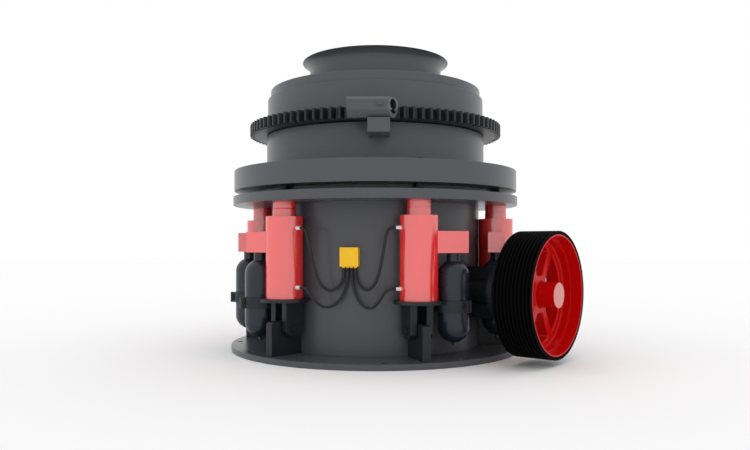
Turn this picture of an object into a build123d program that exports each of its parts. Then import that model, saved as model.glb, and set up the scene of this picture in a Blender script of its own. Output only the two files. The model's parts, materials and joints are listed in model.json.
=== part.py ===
from build123d import *
import os
from math import cos, pi, radians, sin, sqrt, tan

# Cone crusher of the multi-cylinder kind, in millimetres.
# The origin is on the machine's vertical axis, on the underside of the base flange.
# +Z is up and +X runs along the countershaft towards the driven pulley.

os.makedirs("parts", exist_ok=True)

# Main frame
base_radius = 1145
base_thickness = 42
shell_radius = 830
shell_wall = 45
frame_height = 1193
frame_flange_radius = 1130
frame_flange_thickness = 68
foundation_bolt_count = 12
foundation_bolt_circle = 2170
foundation_bolt_hole = 42
foundation_bolt_turn = 11

# Hub and arms inside the frame
hub_radius = 300
hub_bore_radius = 150
hub_bottom = 150
hub_top = 690
arm_angles = (60, 180, 300)
arm_width = 130
arm_bottom = 200
arm_top = 560

# Fixed main shaft, eccentric, head and liners
main_shaft_radius = 120
main_shaft_top = 1400
main_shaft_chamfer = 12
eccentric_radius = 262
eccentric_height = 320
head_base_radius = 590
head_skirt = 30
head_cone_height = 430
head_neck_radius = 190
mantle_thickness = 55
mantle_lap = 20
feed_plate_radius = 235
feed_plate_height = 70
feed_plate_top_radius = 130
crushing_gap = 28
liner_throat_rise = 150
liner_mouth_radius = 500
liner_mouth_height = 470
liner_thickness = 60
liner_segments = 4
liner_joint = 0.6
liner_joint_turn = 45

# Adjustment ring
ring_seat_radius = 930
ring_seat_height = 43
ring_flange_radius = 1122
ring_flange_thickness = 156
ring_neck_radius = 869
ring_neck_height = 276
ring_thread_radius = 750
ring_skirt_height = 60
ring_skirt_clearance = 5

# Bowl, gear ring, cap and hopper
thread_clearance = 0.3
bowl_clearance = 7
bowl_flange_thickness = 29
gear_module = 20
gear_teeth = 98
gear_thickness = 79
gear_pressure_angle = 20
cap_lower_radius = 861
cap_lower_height = 286
cap_upper_radius = 838
cap_upper_height = 72
cap_wall = 25
cap_roof = 30
hopper_radius = 527
hopper_wall = 20
hopper_lip = 12
hopper_neck_height = 165
hopper_flare_height = 78
hopper_rim_radius = 586
hopper_cone_height = 230
hopper_outlet_radius = 430

# Release cylinders round the frame
cylinder_count = 6
cylinder_turn = 26
cylinder_circle_radius = 963
cylinder_radius = 132
cylinder_bottom = 441
cylinder_neck_height = 104
cylinder_neck_radius = 82
cylinder_groove_drop = 52
cylinder_groove = 5
cylinder_bore_radius = 92
cylinder_cap = 45
rod_radius = 30
rod_clearance = 3
piston_clearance = 2
piston_height = 60
piston_rest = 12
rod_nut_radius = 52
rod_nut_height = 18

# Accumulators beside the cylinders
bottle_out = 20
bottle_side = 247
bottle_radius = 110
bottle_bottom = 148
bottle_neck_length = 157
bottle_neck_radius = 46
bottle_nipple_radius = 12
bottle_nipple_length = 22
block_drop = 257
block_height = 150
block_depth = 124
block_reach = 334

# Cylinder feet, clevises and clamps
foot_radius = 175
foot_thickness = 23
foot_clearance = 4
foot_arm_width = 90
ear_thickness = 48
ear_gap = 70
ear_width = 160
ear_drop = 55
ear_corner = 35
pin_circle_radius = 938
pin_height = 230
pin_radius = 28
pin_head_length = 10
lug_thickness = 60
lug_outer_radius = 1105
lug_top = 285
lug_corner = 28
clamp_height = 79
clamp_wall = 16
clamp_clearance = 0.2
clamp_turn = 70
clamp_tab_reach = 150
clamp_tab_width = 17
clamp_tab_gap = 10

# Hose fittings, junction box and hoses
fitting_radius = 15
fitting_tip_radius = 11
fitting_length = 36
fitting_clearance = 0.2
lower_fitting_rise = 81
upper_fitting_drop = 84
box_size = 132
box_front = 878
box_bottom = 670
gland_radius = 12
gland_length = 10
gland_offsets = (-42, -14, 14, 42)
hose_diameter = 20
hose_end_run = 28

# Countershaft and pulley
shaft_height = 479
countershaft_radius = 62
countershaft_clearance = 0.1
countershaft_inner_end = 420
tunnel_radius = 88
mount_flange_radius = 184
mount_flange_depth = 35
bearing_flange_radius = 196
bearing_flange_start = 1122
bearing_flange_thickness = 40
bearing_cap_radius = 120
bearing_cap_length = 84
housing_rib_thickness = 50
housing_rib_drop = 189
housing_rib_rise = 184
pulley_radius = 436
pulley_width = 271
pulley_face = 1571
pulley_band = 24
groove_count = 10
groove_depth = 11
groove_land = 5
pulley_rim_wall = 10
ledge_width = 20
ledge_recess = 79
web_recess = 136
web_thickness = 90
web_fillet = 14
pulley_hub_radius = 88
hub_face_wall = 30
spoke_count = 6
window_inner_radius = 140
window_outer_radius = 335
window_corner = 20
window_chamfer = 8
spoke_width = 62

# Adjuster on the ring
adjuster_turn = -53
adjuster_drop = 18
adjuster_height = 135
adjuster_length = 338
adjuster_depth = 118
adjuster_inner_radius = 1008
adjuster_upper_chamfer = 24
adjuster_lower_chamfer = 44
adjuster_mitre = 29
adjuster_bore_radius = 34
adjuster_bore_rise = 22
adjuster_slot_drop = 26
adjuster_slot_width = 64
adjuster_slot_height = 34
adjuster_arm_width = 150
adjuster_arm_height = 98
adjuster_arm_offset = 41
adjuster_arm_inset = 20

# Heights and radii that follow from the sizes above
shell_bore = shell_radius - shell_wall
frame_flange_bottom = frame_height - frame_flange_thickness
ring_flange_bottom = frame_height + ring_seat_height
ring_flange_top = ring_flange_bottom + ring_flange_thickness
ring_top = ring_flange_top + ring_neck_height
gear_bottom = ring_top + bowl_clearance
bowl_top = gear_bottom + bowl_flange_thickness
cap_step = gear_bottom + cap_lower_height
cap_top = cap_step + cap_upper_height
hopper_neck_top = cap_top + hopper_neck_height
hopper_top = hopper_neck_top + hopper_flare_height
cylinder_top = frame_flange_bottom - cylinder_neck_height
cylinder_groove_height = frame_flange_bottom - cylinder_groove_drop
block_bottom = cylinder_top - block_drop
bottle_shoulder = block_bottom - bottle_neck_length
fitting_heights = (cylinder_bottom + lower_fitting_rise, cylinder_top - upper_fitting_drop)
adjuster_bottom = gear_bottom - adjuster_drop
cylinder_angles = [cylinder_turn + 360 / cylinder_count * n for n in range(cylinder_count)]
pulley_inner_face = pulley_face - pulley_width
pulley_rim_inner = pulley_radius - pulley_band - pulley_rim_wall
head_bottom = hub_top + eccentric_height
head_top = head_bottom + head_skirt + head_cone_height


def finish(builder, label):
    """Name a finished piece and write it."""
    builder.part.label = label
    export_step(builder.part, f"parts/{label}.step")


def outward(angle):
    """Unit vector pointing away from the machine's axis."""
    return Vector(cos(radians(angle)), sin(radians(angle)), 0)


def station(angle, radius, height=0):
    """Level plane at a place round the machine: local x is outward, local z is up."""
    return Plane(origin=outward(angle) * radius + Vector(0, 0, height), x_dir=outward(angle), z_dir=(0, 0, 1))


def upright(angle, radius=0):
    """Standing plane at a place round the machine: local x is outward, local y is up."""
    return Plane(origin=outward(angle) * radius, x_dir=outward(angle), z_dir=outward(angle - 90))


def acc_side(n):
    """Cylinders stand in facing pairs, so each accumulator is on the side away from the partner."""
    return -1 if n % 2 == 0 else 1


# Base flange with the holes for the foundation bolts
with BuildPart() as frame_base:
    with BuildSketch(Plane.XY):
        Circle(base_radius)
        Circle(shell_bore, mode=Mode.SUBTRACT)
        with PolarLocations(
            foundation_bolt_circle / 2, foundation_bolt_count, start_angle=foundation_bolt_turn
        ):
            Circle(foundation_bolt_hole / 2, mode=Mode.SUBTRACT)
    extrude(amount=base_thickness)
finish(frame_base, "frame_base")

# Drum of the main frame, open at the side for the countershaft housing
with BuildPart() as frame_shell:
    with BuildSketch(Plane.XY.offset(base_thickness)):
        Circle(shell_radius)
        Circle(shell_bore, mode=Mode.SUBTRACT)
    extrude(amount=frame_flange_bottom - base_thickness)
    with BuildSketch(Plane.YZ.offset(hub_radius)):
        with Locations((0, shaft_height)):
            Circle(tunnel_radius)
    extrude(amount=base_radius, mode=Mode.SUBTRACT)
finish(frame_shell, "frame_shell")

# Upper flange of the frame, which the release rods pass through
with BuildPart() as frame_flange:
    with BuildSketch(Plane.XY.offset(frame_flange_bottom)):
        Circle(frame_flange_radius)
        Circle(shell_bore, mode=Mode.SUBTRACT)
        with PolarLocations(cylinder_circle_radius, cylinder_count, start_angle=cylinder_turn):
            Circle(rod_radius + rod_clearance, mode=Mode.SUBTRACT)
    extrude(amount=frame_flange_thickness)
finish(frame_flange, "frame_flange")

# Lugs between the base flange and the shell, one for each clevis
with BuildPart() as clevis_lugs:
    for angle in cylinder_angles:
        with BuildSketch(upright(angle)) as lug_section:
            with Locations(((shell_bore + lug_outer_radius) / 2, (base_thickness + lug_top) / 2)):
                Rectangle(lug_outer_radius - shell_bore, lug_top - base_thickness)
            fillet(lug_section.vertices().group_by(Axis.Y)[-1].sort_by(Axis.X)[-1], lug_corner)
            with Locations((pin_circle_radius, pin_height)):
                Circle(pin_radius, mode=Mode.SUBTRACT)
        extrude(amount=lug_thickness / 2, both=True)
    with BuildSketch(Plane.XY):
        Circle(shell_radius)
    extrude(amount=frame_height, mode=Mode.SUBTRACT)
finish(clevis_lugs, "clevis_lugs")

# Hub with its arms, seen through the discharge opening
with BuildPart() as frame_hub:
    for angle in arm_angles:
        with BuildSketch(station(angle, shell_bore / 2, arm_bottom)):
            Rectangle(shell_bore + arm_width, arm_width)
        extrude(amount=arm_top - arm_bottom)
    with BuildSketch(Plane.XY.offset(arm_bottom)):
        Circle(shell_bore)
    extrude(amount=arm_top - arm_bottom, mode=Mode.INTERSECT)
    with BuildSketch(Plane.XY.offset(hub_bottom)):
        Circle(hub_radius)
    extrude(amount=hub_top - hub_bottom)
    with BuildSketch(Plane.XY.offset(hub_bottom)):
        Circle(hub_bore_radius)
    extrude(amount=hub_top - hub_bottom, mode=Mode.SUBTRACT)
finish(frame_hub, "frame_hub")

# Fixed main shaft, pressed into the hub
with BuildPart() as main_shaft:
    with BuildSketch(Plane.XY.offset(hub_bottom)):
        Circle(hub_bore_radius)
    extrude(amount=hub_top - hub_bottom)
    with BuildSketch(Plane.XY.offset(hub_top)):
        Circle(main_shaft_radius)
    extrude(amount=main_shaft_top - hub_top)
    chamfer(main_shaft.edges().group_by(Axis.Z)[-1], main_shaft_chamfer)
    chamfer(main_shaft.edges().group_by(Axis.Z)[0], main_shaft_chamfer)
finish(main_shaft, "main_shaft")

# Eccentric sleeve on the shaft, resting on the hub
with BuildPart() as eccentric:
    with BuildSketch(Plane.XY.offset(hub_top)):
        Circle(eccentric_radius)
        Circle(main_shaft_radius, mode=Mode.SUBTRACT)
    extrude(amount=eccentric_height)
finish(eccentric, "eccentric")

# Crusher head, a cone over the shaft
with BuildPart() as crusher_head:
    with BuildSketch(Plane.XZ):
        with BuildLine():
            Polyline(
                (main_shaft_radius, head_bottom),
                (head_base_radius, head_bottom),
                (head_base_radius, head_bottom + head_skirt),
                (head_neck_radius, head_top),
                (0, head_top),
                (0, main_shaft_top),
                (main_shaft_radius, main_shaft_top),
                close=True,
            )
        make_face()
    revolve(axis=Axis.Z)
finish(crusher_head, "crusher_head")

# Mantle, the wearing cone over the head
with BuildPart() as mantle:
    with BuildSketch(Plane.XZ):
        with BuildLine():
            Polyline(
                (head_base_radius, head_bottom),
                (head_base_radius + mantle_thickness, head_bottom),
                (head_base_radius + mantle_thickness, head_bottom + head_skirt),
                (head_neck_radius + mantle_thickness, head_top + mantle_lap),
                (head_neck_radius, head_top + mantle_lap),
                (head_neck_radius, head_top),
                (head_base_radius, head_bottom + head_skirt),
                close=True,
            )
        make_face()
    revolve(axis=Axis.Z)
finish(mantle, "mantle")

# Feed plate over the head, seen through the hopper
with BuildPart() as feed_plate:
    with BuildSketch(Plane.XZ):
        with BuildLine():
            Polyline(
                (0, head_top),
                (head_neck_radius, head_top),
                (head_neck_radius, head_top + mantle_lap),
                (feed_plate_radius, head_top + mantle_lap),
                (feed_plate_radius, head_top + mantle_lap + feed_plate_height / 2),
                (feed_plate_top_radius, head_top + mantle_lap + feed_plate_height),
                (0, head_top + mantle_lap + feed_plate_height),
                close=True,
            )
        make_face()
    revolve(axis=Axis.Z)
finish(feed_plate, "feed_plate")

# Adjustment ring, which rests on the frame and is held down by the cylinders
with BuildPart() as adjustment_ring:
    with BuildSketch(Plane.XZ):
        with BuildLine():
            Polyline(
                (ring_thread_radius, frame_height - ring_skirt_height),
                (shell_bore - ring_skirt_clearance, frame_height - ring_skirt_height),
                (shell_bore - ring_skirt_clearance, frame_height),
                (ring_seat_radius, frame_height),
                (ring_seat_radius, ring_flange_bottom),
                (ring_flange_radius, ring_flange_bottom),
                (ring_flange_radius, ring_flange_top),
                (ring_neck_radius, ring_flange_top),
                (ring_neck_radius, ring_top),
                (ring_thread_radius, ring_top),
                close=True,
            )
        make_face()
    revolve(axis=Axis.Z)
    with BuildSketch(Plane.XY.offset(ring_flange_bottom)):
        with PolarLocations(cylinder_circle_radius, cylinder_count, start_angle=cylinder_turn):
            Circle(rod_radius)
    extrude(amount=ring_flange_thickness, mode=Mode.SUBTRACT)
finish(adjustment_ring, "adjustment_ring")

# Bowl, screwed into the adjustment ring and open down its middle
liner_base_radius = head_base_radius + mantle_thickness + crushing_gap
liner_mouth = head_bottom + liner_mouth_height
bowl_bore = liner_base_radius + liner_thickness
with BuildPart() as bowl:
    with BuildSketch(Plane.XZ):
        with BuildLine():
            Polyline(
                (bowl_bore, head_bottom + liner_throat_rise),
                (ring_thread_radius - thread_clearance, head_bottom + liner_throat_rise),
                (ring_thread_radius - thread_clearance, gear_bottom),
                (cap_lower_radius, gear_bottom),
                (cap_lower_radius, bowl_top),
                (liner_mouth_radius + liner_thickness, bowl_top),
                (liner_mouth_radius + liner_thickness, liner_mouth),
                close=True,
            )
        make_face()
    revolve(axis=Axis.Z)
finish(bowl, "bowl")

# Bowl liner, the fixed wall of the crushing gap, in segments with narrow joints
with BuildPart() as bowl_liner:
    with BuildSketch(Plane.XZ):
        with BuildLine():
            Polyline(
                (liner_base_radius, head_bottom + head_skirt),
                (bowl_bore, head_bottom + head_skirt),
                (bowl_bore, head_bottom + liner_throat_rise),
                (liner_mouth_radius + liner_thickness, liner_mouth),
                (liner_mouth_radius, liner_mouth),
                (liner_base_radius - liner_throat_rise / 2, head_bottom + head_skirt + liner_throat_rise),
                close=True,
            )
        make_face()
    revolve(axis=Axis.Z)
    with BuildSketch(Plane.XY.offset(head_bottom)):
        with PolarLocations(bowl_bore, liner_segments, start_angle=liner_joint_turn):
            Rectangle(2 * bowl_bore, liner_joint)
    extrude(amount=liner_mouth_height, mode=Mode.SUBTRACT)
finish(bowl_liner, "bowl_liner")

# Gear ring that turns the bowl in its thread
gear_outer = gear_module * (gear_teeth + 2) / 2
gear_root = gear_module * (gear_teeth - 2.5) / 2
tooth_flank = tan(radians(gear_pressure_angle))
tooth_half = pi * gear_module / 4
tooth_tip = tooth_half - gear_module * tooth_flank
tooth_foot = tooth_half + 1.25 * gear_module * tooth_flank
with BuildPart() as gear_ring:
    with BuildSketch(Plane.XY.offset(gear_bottom)):
        Circle(gear_root)
        with PolarLocations(0, gear_teeth):
            Polygon(
                (gear_root - gear_module / 4, -tooth_foot),
                (gear_root, -tooth_foot),
                (gear_outer, -tooth_tip),
                (gear_outer, tooth_tip),
                (gear_root, tooth_foot),
                (gear_root - gear_module / 4, tooth_foot),
                align=None,
            )
        Circle(cap_lower_radius, mode=Mode.SUBTRACT)
    extrude(amount=gear_thickness)
finish(gear_ring, "gear_ring")

# Cap over the bowl, in two steps
with BuildPart() as adjustment_cap:
    with BuildSketch(Plane.XZ):
        with BuildLine():
            Polyline(
                (cap_lower_radius - cap_wall, bowl_top),
                (cap_lower_radius, bowl_top),
                (cap_lower_radius, cap_step),
                (cap_upper_radius, cap_step),
                (cap_upper_radius, cap_top),
                (hopper_radius, cap_top),
                (hopper_radius, cap_top - cap_roof),
                (cap_upper_radius - cap_wall, cap_top - cap_roof),
                (cap_upper_radius - cap_wall, cap_step - cap_wall),
                (cap_lower_radius - cap_wall, cap_step - cap_wall),
                close=True,
            )
        make_face()
    revolve(axis=Axis.Z)
finish(adjustment_cap, "adjustment_cap")

# Feed hopper: trumpet lip, straight neck and inner cone
with BuildPart() as feed_hopper:
    with BuildSketch(Plane.XZ):
        with BuildLine():
            Line((hopper_radius, cap_top - cap_roof), (hopper_radius, hopper_neck_top))
            TangentArc(
                (hopper_radius, hopper_neck_top), (hopper_rim_radius, hopper_top), tangent=(0, 1)
            )
            Line((hopper_rim_radius, hopper_top), (hopper_rim_radius - hopper_lip, hopper_top))
            TangentArc(
                (hopper_radius - hopper_wall, hopper_neck_top),
                (hopper_rim_radius - hopper_lip, hopper_top),
                tangent=(0, 1),
            )
            Polyline(
                (hopper_radius - hopper_wall, hopper_neck_top),
                (hopper_radius - hopper_wall, cap_top - cap_roof),
                (hopper_outlet_radius - hopper_wall, cap_top - cap_roof - hopper_cone_height),
                (hopper_outlet_radius, cap_top - cap_roof - hopper_cone_height),
                (hopper_radius, cap_top - cap_roof),
            )
        make_face()
    revolve(axis=Axis.Z)
finish(feed_hopper, "feed_hopper")


def release_cylinder(angle, side):
    """Cylinder body with its stepped neck, manifold block and hollow bore."""
    with BuildPart() as cylinder:
        with BuildSketch(upright(angle, cylinder_circle_radius)):
            with BuildLine():
                Polyline(
                    (0, cylinder_bottom),
                    (cylinder_radius, cylinder_bottom),
                    (cylinder_radius, cylinder_top),
                    (cylinder_neck_radius, cylinder_top),
                    (cylinder_neck_radius, cylinder_groove_height),
                    (cylinder_neck_radius - cylinder_groove, cylinder_groove_height),
                    (cylinder_neck_radius - cylinder_groove, cylinder_groove_height + cylinder_groove),
                    (cylinder_neck_radius, cylinder_groove_height + cylinder_groove),
                    (cylinder_neck_radius, frame_flange_bottom),
                    (0, frame_flange_bottom),
                    close=True,
                )
            make_face()
        revolve(axis=Axis(tuple(outward(angle) * cylinder_circle_radius), (0, 0, 1)))
        with BuildSketch(station(angle, cylinder_circle_radius, block_bottom)):
            with Locations((bottle_out, side * block_reach / 2)):
                Rectangle(block_depth, block_reach)
        extrude(amount=block_height)
        with BuildSketch(station(angle, cylinder_circle_radius, cylinder_bottom + cylinder_cap)):
            Circle(cylinder_bore_radius)
        extrude(amount=cylinder_top - cylinder_bottom - 2 * cylinder_cap, mode=Mode.SUBTRACT)
        with BuildSketch(station(angle, cylinder_circle_radius, cylinder_top - cylinder_cap)):
            Circle(rod_radius + rod_clearance)
        extrude(amount=frame_flange_bottom - cylinder_top + cylinder_cap, mode=Mode.SUBTRACT)
    return cylinder


def accumulator(angle, side):
    """Gas bottle with round ends, hung by its neck from the block."""
    centre = station(angle, cylinder_circle_radius).from_local_coords((bottle_out, side * bottle_side, 0))
    spin = Plane(origin=centre, x_dir=outward(angle), z_dir=outward(angle - 90))
    dome = bottle_radius / sqrt(2)
    neck_joint = bottle_shoulder + sqrt(bottle_radius**2 - bottle_neck_radius**2)
    half_turn = sqrt(((bottle_radius + bottle_neck_radius) / 2) ** 2)
    shoulder_mid = bottle_shoulder + sqrt(bottle_radius**2 - half_turn**2)
    nipple_joint = bottle_bottom + bottle_radius - sqrt(bottle_radius**2 - bottle_nipple_radius**2)
    with BuildPart() as bottle:
        with BuildSketch(spin):
            with BuildLine():
                Polyline(
                    (0, block_bottom),
                    (0, bottle_bottom - bottle_nipple_length),
                    (bottle_nipple_radius, bottle_bottom - bottle_nipple_length),
                    (bottle_nipple_radius, nipple_joint),
                )
                ThreePointArc(
                    (bottle_nipple_radius, nipple_joint),
                    (dome, bottle_bottom + bottle_radius - dome),
                    (bottle_radius, bottle_bottom + bottle_radius),
                )
                Line((bottle_radius, bottle_bottom + bottle_radius), (bottle_radius, bottle_shoulder))
                ThreePointArc(
                    (bottle_radius, bottle_shoulder),
                    (half_turn, shoulder_mid),
                    (bottle_neck_radius, neck_joint),
                )
                Polyline(
                    (bottle_neck_radius, neck_joint),
                    (bottle_neck_radius, block_bottom),
                    (0, block_bottom),
                )
            make_face()
        revolve(axis=Axis(tuple(centre), (0, 0, 1)))
    return bottle


def cylinder_foot(angle, side):
    """Foot plate with two clevis ears below it and an arm to the bottle's clamp."""
    foot_bottom = cylinder_bottom - foot_thickness
    clamp_bottom = cylinder_bottom - clamp_height
    clamp_inner = bottle_radius + clamp_clearance
    bottle_spot = (bottle_out, side * bottle_side)
    with BuildPart() as foot:
        with BuildSketch(station(angle, cylinder_circle_radius, foot_bottom)):
            Circle(foot_radius)
            with Locations((bottle_out, side * bottle_side / 2)):
                Rectangle(foot_arm_width, bottle_side)
            with Locations((-cylinder_circle_radius, 0)):
                Circle(shell_radius + foot_clearance, mode=Mode.SUBTRACT)
        extrude(amount=foot_thickness)
        with BuildSketch(station(angle, cylinder_circle_radius, clamp_bottom)):
            with Locations(bottle_spot):
                Circle(clamp_inner + clamp_wall)
                with Locations(Rotation(0, 0, side * (90 - clamp_turn))):
                    for place in (-1, 1):
                        with Locations(
                            (clamp_tab_reach / 2, place * (clamp_tab_gap + clamp_tab_width) / 2)
                        ):
                            Rectangle(clamp_tab_reach, clamp_tab_width)
        extrude(amount=clamp_height)
        with BuildSketch(station(angle, cylinder_circle_radius, clamp_bottom)):
            with Locations(bottle_spot):
                Circle(clamp_inner)
        extrude(amount=clamp_height, mode=Mode.SUBTRACT)
        ear_bottom = pin_height - ear_drop
        for place in (-1, 1):
            ear_plane = upright(angle, pin_circle_radius).offset(place * (ear_gap + ear_thickness) / 2)
            with BuildSketch(ear_plane) as ear_section:
                with Locations((0, (ear_bottom + foot_bottom) / 2)):
                    Rectangle(ear_width, foot_bottom - ear_bottom)
                chamfer(ear_section.vertices().group_by(Axis.Y)[0], ear_corner)
                with Locations((0, pin_height)):
                    Circle(pin_radius, mode=Mode.SUBTRACT)
            extrude(amount=ear_thickness / 2, both=True)
    return foot


# Six stations, each with a cylinder, an accumulator and a foot
for n, angle in enumerate(cylinder_angles):
    finish(release_cylinder(angle, acc_side(n)), f"release_cylinder_{n + 1}")
    finish(accumulator(angle, acc_side(n)), f"accumulator_{n + 1}")
    finish(cylinder_foot(angle, acc_side(n)), f"cylinder_foot_{n + 1}")

# Clevis pins through the ears and the frame's lugs
pin_length = ear_gap + 2 * ear_thickness + 2 * pin_head_length
with BuildPart() as clevis_pins:
    for angle in cylinder_angles:
        with BuildSketch(upright(angle, pin_circle_radius)):
            with Locations((0, pin_height)):
                Circle(pin_radius)
        extrude(amount=pin_length / 2, both=True)
finish(clevis_pins, "clevis_pins")

# Piston rods, from inside the cylinders up through both flanges
piston_bottom = cylinder_bottom + cylinder_cap + piston_rest
with BuildPart() as release_rods:
    for angle in cylinder_angles:
        with BuildSketch(station(angle, cylinder_circle_radius, piston_bottom)):
            Circle(cylinder_bore_radius - piston_clearance)
        extrude(amount=piston_height)
        with BuildSketch(station(angle, cylinder_circle_radius, piston_bottom)):
            Circle(rod_radius)
        extrude(amount=ring_flange_top - piston_bottom)
        with BuildSketch(station(angle, cylinder_circle_radius, ring_flange_top)):
            RegularPolygon(rod_nut_radius, 6)
        extrude(amount=rod_nut_height)
finish(release_rods, "release_rods")

# Hose fittings on the side of each cylinder that faces its partner
with BuildPart() as hose_fittings:
    for n, angle in enumerate(cylinder_angles):
        seat = sqrt(cylinder_radius**2 - fitting_radius**2)
        inward = outward(angle + 90) * -acc_side(n)
        for height in fitting_heights:
            root = outward(angle) * cylinder_circle_radius + inward * seat + Vector(0, 0, height)
            tip = outward(angle) * cylinder_circle_radius + Vector(0, 0, height)
            tip = tip + inward * (cylinder_radius + fitting_length)
            with BuildSketch(Plane(origin=root, z_dir=inward)):
                Circle(fitting_radius)
            with BuildSketch(Plane(origin=tip, z_dir=inward)):
                Circle(fitting_tip_radius)
            loft()
    with BuildSketch(Plane.XY.offset(cylinder_bottom)):
        with PolarLocations(cylinder_circle_radius, cylinder_count, start_angle=cylinder_turn):
            Circle(cylinder_radius + fitting_clearance)
    extrude(amount=cylinder_top - cylinder_bottom, mode=Mode.SUBTRACT)
finish(hose_fittings, "hose_fittings")

# Junction box on the shell, between the two cylinders that the hoses serve
box_turn = cylinder_angles[4] + 180 / cylinder_count
with BuildPart() as junction_box:
    with BuildSketch(station(box_turn, 0, box_bottom)):
        with Locations(((shell_radius - shell_wall / 2 + box_front) / 2, 0)):
            Rectangle(box_front - shell_radius + shell_wall / 2, box_size)
    extrude(amount=box_size)
    with BuildSketch(Plane.XY.offset(box_bottom)):
        Circle(shell_radius)
    extrude(amount=box_size, mode=Mode.SUBTRACT)
    with BuildSketch(station(box_turn, 0, box_bottom - gland_length)):
        for offset_side in gland_offsets:
            with Locations(((shell_radius + box_front) / 2, offset_side)):
                Circle(gland_radius)
    extrude(amount=gland_length)
finish(junction_box, "junction_box")

# Hose routes, seen from the box: outward from the axis, sideways along the pair, and up
gland_out = (shell_radius + box_front) / 2
gland_end = box_bottom - gland_length
hose_routes = {
    "hose_upper_left": [
        (gland_out, -42, gland_end),
        (gland_out, -42, 612),
        (862, -57, 556),
        (876, -90, 512),
        (894, -135, 500),
        (908, -178, 528),
        (920, -212, 588),
        (934, -240, 690),
        (947, -262, 805),
        (953, -277, 888),
        (944, -291, 922),
    ],
    "hose_lower_left": [
        (gland_out, -14, gland_end),
        (gland_out, -14, 600),
        (858, -26, 520),
        (872, -56, 446),
        (890, -106, 398),
        (910, -160, 386),
        (930, -205, 412),
        (948, -240, 458),
        (956, -266, 498),
        (944, -291, 519),
    ],
    "hose_lower_right": [
        (gland_out, 14, gland_end),
        (gland_out, 14, 596),
        (858, 30, 512),
        (872, 62, 440),
        (890, 112, 392),
        (910, 166, 384),
        (930, 208, 414),
        (948, 242, 460),
        (956, 267, 500),
        (944, 291, 519),
    ],
    "hose_upper_right": [
        (gland_out, 42, gland_end),
        (gland_out, 42, 616),
        (862, 58, 562),
        (876, 92, 520),
        (894, 138, 508),
        (908, 180, 536),
        (920, 213, 594),
        (934, 240, 694),
        (947, 262, 806),
        (953, 277, 888),
        (944, 291, 922),
    ],
}


def fitting_point(side, height, beyond):
    """Place beyond the tip of the left (-1) or right (1) fitting, in the box's coordinates."""
    half = radians(180 / cylinder_count)
    reach = cylinder_radius + fitting_length + beyond
    return (
        cylinder_circle_radius * cos(half) + reach * sin(half),
        side * (cylinder_circle_radius * sin(half) - reach * cos(half)),
        height,
    )


def bend_radii(points):
    """Radius at each corner of a route, as large as its two runs allow."""
    radii = []
    for before, corner, after in zip(points, points[1:], points[2:]):
        run_in = corner - before
        run_out = after - corner
        half_turn = radians(run_in.get_angle(run_out)) / 2
        radii.append(0.45 * min(run_in.length, run_out.length) / tan(half_turn))
    return radii


# Hoses from the junction box to the fittings
for label, route in hose_routes.items():
    side = -1 if label.endswith("left") else 1
    height = fitting_heights[1] if "upper" in label else fitting_heights[0]
    frame_of_box = station(box_turn, 0)
    route_end = [fitting_point(side, height, hose_end_run), fitting_point(side, height, 0)]
    points = [frame_of_box.from_local_coords(Vector(*place)) for place in route + route_end]
    radii = bend_radii(points)
    with BuildPart() as hose:
        with BuildLine() as hose_line:
            FilletPolyline(*points, radius=radii)
        with BuildSketch(Plane(origin=points[0], z_dir=points[1] - points[0])):
            Circle(hose_diameter / 2)
        sweep(path=hose_line.wires()[0])
    finish(hose, label)
    section = pi * hose_diameter**2 / 4
    length = hose_line.wires()[0].length
    print(label, "length", round(length), "radii", [round(r) for r in radii])
    print("  volume over section times length", round(hose.part.volume / (section * length), 4))

# Countershaft housing: tube, flange against the shell, ribs over and under, bearing flange and cap
mount_flange_end = shell_radius + mount_flange_depth
housing_rib_level = shaft_height + (housing_rib_rise - housing_rib_drop) / 2
bearing_cap_start = bearing_flange_start + bearing_flange_thickness
with BuildPart() as countershaft_housing:
    with BuildSketch(Plane.YZ.offset(hub_radius)):
        with Locations((0, shaft_height)):
            Circle(mount_flange_radius)
    extrude(amount=mount_flange_end - hub_radius)
    with BuildSketch(Plane.XZ):
        with Locations(((hub_radius + bearing_flange_start) / 2, housing_rib_level)):
            Rectangle(bearing_flange_start - hub_radius, housing_rib_rise + housing_rib_drop)
    extrude(amount=housing_rib_thickness / 2, both=True)
    with BuildSketch(Plane.XY):
        Circle(shell_radius)
    extrude(amount=frame_height, mode=Mode.SUBTRACT)
    with BuildSketch(Plane.YZ):
        with Locations((0, shaft_height)):
            Circle(tunnel_radius)
    extrude(amount=bearing_flange_start)
    with BuildSketch(Plane.YZ.offset(bearing_flange_start)):
        with Locations((0, shaft_height)):
            Circle(bearing_flange_radius)
    extrude(amount=bearing_flange_thickness)
    with BuildSketch(Plane.YZ.offset(bearing_cap_start)):
        with Locations((0, shaft_height)):
            Circle(bearing_cap_radius)
    extrude(amount=bearing_cap_length)
    with BuildSketch(Plane.XY):
        Circle(hub_radius)
    extrude(amount=hub_top, mode=Mode.SUBTRACT)
    with BuildSketch(Plane.YZ):
        with Locations((0, shaft_height)):
            Circle(countershaft_radius + countershaft_clearance)
    extrude(amount=pulley_face, mode=Mode.SUBTRACT)
finish(countershaft_housing, "countershaft_housing")

# Countershaft
with BuildPart() as countershaft:
    with BuildSketch(Plane.YZ.offset(countershaft_inner_end)):
        with Locations((0, shaft_height)):
            Circle(countershaft_radius)
    extrude(amount=pulley_face - hub_face_wall - countershaft_inner_end)
finish(countershaft, "countershaft")

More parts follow.
